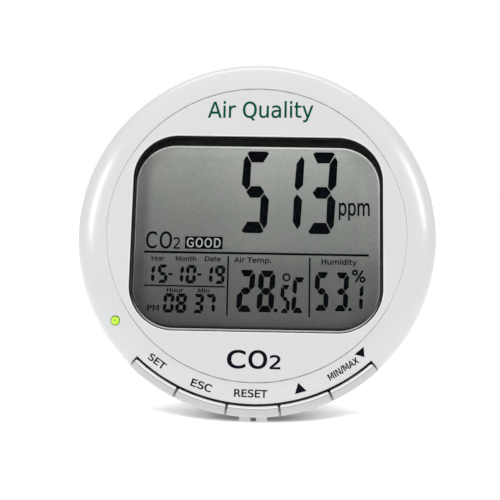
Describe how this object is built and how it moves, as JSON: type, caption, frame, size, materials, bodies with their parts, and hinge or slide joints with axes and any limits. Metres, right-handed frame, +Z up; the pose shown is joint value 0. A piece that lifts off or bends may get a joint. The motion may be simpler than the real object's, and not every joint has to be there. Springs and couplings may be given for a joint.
{
  "type": "carbon dioxide monitor",
  "caption": "Round carbon dioxide monitor leaning back on a folding rear leg, with a framed display, curved keys on its lower rim, a status light, side sockets and a wall keyhole.",
  "frame": {"origin": "on the surface it stands on, under the middle of the object from its keys to its leg", "axes": "+Z up, +X to the right seen from the front, display facing -Y and leaning back 14 degrees"},
  "size_m": [0.13, 0.0654, 0.1291],
  "materials": {
    "shell_white": "satin moulded",
    "face_white": "satin moulded",
    "lens_clear": "clear gloss",
    "mask_black": "matt black",
    "lcd_grey": "reflective liquid crystal",
    "guide_frosted": "frosted clear",
    "inner_plastic": "plain moulded",
    "strip_rubber": "soft",
    "board_green": "solder resist",
    "screw_steel": "plated",
    "chip_black": "moulded",
    "key_white": "satin moulded",
    "led_green": "tinted clear, lit",
    "sensor_brass": "gold plated",
    "filter_white": "membrane",
    "socket_black": "moulded",
    "filter_dark": "open mesh",
    "label_silver": "satin foil, blank",
    "rubber_grey": "matt"
  },
  "bodies": {
    "case": {"front_bezel": "shell_white", "face_plate": "face_white", "display_lens": "lens_clear", "lens_tape": "mask_black", "display_mask": "mask_black", "lcd_glass": "lcd_grey", "lcd_light_guide": "guide_frosted", "lcd_holder": "inner_plastic", "elastomer_strips": "strip_rubber", "main_pcb": "board_green", "pcb_screws": "screw_steel", "microcontroller": "chip_black", "tact_switches": "chip_black", "status_led": "led_green", "co2_sensor_board": "board_green", "co2_sensor_chamber": "sensor_brass", "co2_filter": "filter_white", "sensor_header": "chip_black", "humidity_sensor": "filter_white", "buzzer": "chip_black", "coin_cell": "screw_steel", "coin_cell_clip": "screw_steel", "dc_jack": "socket_black", "output_jack": "socket_black", "usb_socket": "screw_steel", "rear_cover": "shell_white", "vent_filters": "filter_dark", "rating_label": "label_silver", "case_screws": "screw_steel", "stand_pin": "screw_steel", "front_feet": "shell_white"},
    "leg": {"desk_stand": "shell_white", "stand_foot_pad": "rubber_grey"},
    "set_button": {"set_key": "key_white", "set_switch_stem": "chip_black"},
    "escape_button": {"escape_key": "key_white", "escape_switch_stem": "chip_black"},
    "reset_button": {"reset_key": "key_white", "reset_switch_stem": "chip_black"},
    "up_button": {"up_key": "key_white", "up_switch_stem": "chip_black"},
    "down_button": {"down_key": "key_white", "down_switch_stem": "chip_black"}
  },
  "joints": [
    {"name": "set_press", "type": "slide", "parent": "case", "child": "set_button", "axis": [0, 0.9703, -0.2419], "range_m": [0, 0.0006], "stiffness_N_per_m": 400},
    {"name": "escape_press", "type": "slide", "parent": "case", "child": "escape_button", "axis": [0, 0.9703, -0.2419], "range_m": [0, 0.0006], "stiffness_N_per_m": 400},
    {"name": "reset_press", "type": "slide", "parent": "case", "child": "reset_button", "axis": [0, 0.9703, -0.2419], "range_m": [0, 0.0006], "stiffness_N_per_m": 400},
    {"name": "up_press", "type": "slide", "parent": "case", "child": "up_button", "axis": [0, 0.9703, -0.2419], "range_m": [0, 0.0006], "stiffness_N_per_m": 400},
    {"name": "down_press", "type": "slide", "parent": "case", "child": "down_button", "axis": [0, 0.9703, -0.2419], "range_m": [0, 0.0006], "stiffness_N_per_m": 400},
    {"name": "leg_fold", "type": "hinge", "parent": "case", "child": "leg", "pos_m": [0, 0.00932, 0.05032], "axis": [-1, 0, 0], "range_deg": [0, 45.63]}
  ]
}
